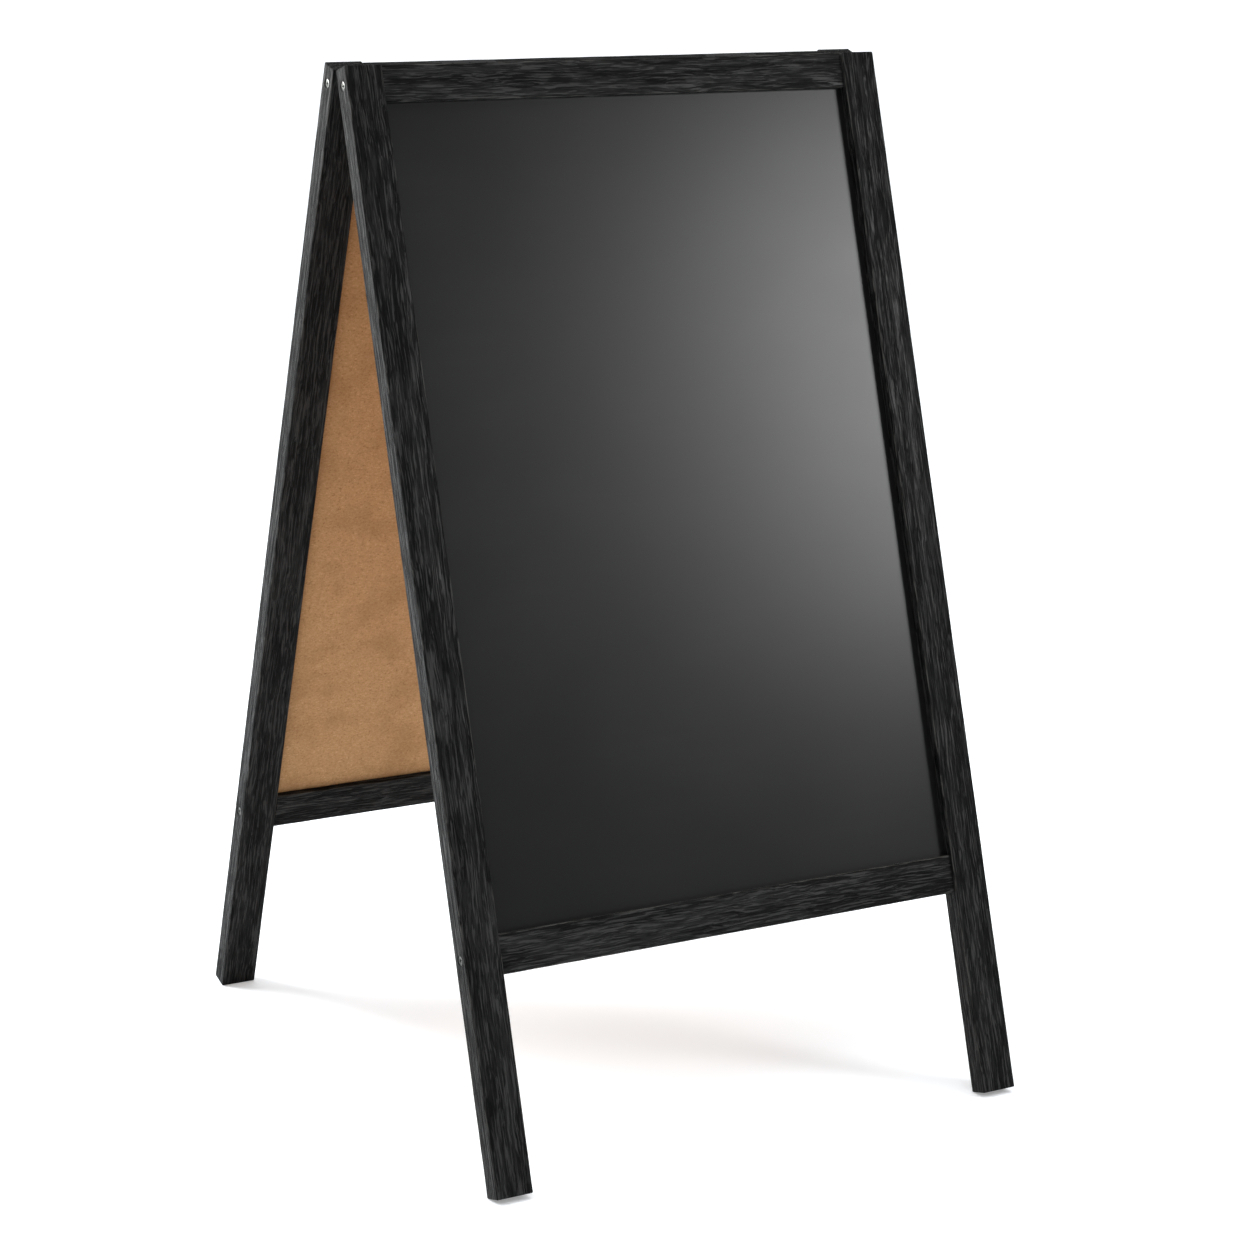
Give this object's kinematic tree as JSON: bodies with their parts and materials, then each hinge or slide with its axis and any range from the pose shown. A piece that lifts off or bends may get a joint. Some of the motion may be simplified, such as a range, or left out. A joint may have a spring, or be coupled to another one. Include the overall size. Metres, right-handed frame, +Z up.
{
  "type": "menu chalkboard easel",
  "caption": "Folding A-frame menu board: black wood frames holding chalkboard panels, hinged at the top, standing open on their legs.",
  "frame": {"origin": "on the ground, midway between the four feet, with the boards opened out and standing", "axes": "+X along the boards' width, -Y out of the front writing face's side, +Z up"},
  "size_m": [0.508, 0.581, 0.8784],
  "materials": {
    "black_stained_wood": "black stain over open grain, satin",
    "chalkboard_panel": "hardboard: matte black chalkboard paint on the writing side, bare brown at the back",
    "zinc_screw": "zinc-plated",
    "black_hinge_steel": "black, satin",
    "pin_steel": "bright drawn steel"
  },
  "bodies": {
    "front_board": {"front_left_stile": "black_stained_wood", "front_right_stile": "black_stained_wood", "front_top_rail": "black_stained_wood", "front_bottom_rail": "black_stained_wood", "front_chalkboard": "chalkboard_panel", "front_frame_screws": "zinc_screw", "front_left_hinge_leaf": "black_hinge_steel", "front_right_hinge_leaf": "black_hinge_steel", "front_hinge_screws": "black_hinge_steel", "left_hinge_pin": "pin_steel", "right_hinge_pin": "pin_steel"},
    "rear_board": {"rear_left_stile": "black_stained_wood", "rear_right_stile": "black_stained_wood", "rear_top_rail": "black_stained_wood", "rear_bottom_rail": "black_stained_wood", "rear_chalkboard": "chalkboard_panel", "rear_frame_screws": "zinc_screw", "rear_left_hinge_leaf": "black_hinge_steel", "rear_right_hinge_leaf": "black_hinge_steel", "rear_hinge_screws": "black_hinge_steel"}
  },
  "joints": [
    {"name": "fold", "type": "hinge", "parent": "front_board", "child": "rear_board", "pos_m": [0, 0, 0.87349], "axis": [-1, 0, 0], "range_deg": [0, 34.5]}
  ]
}
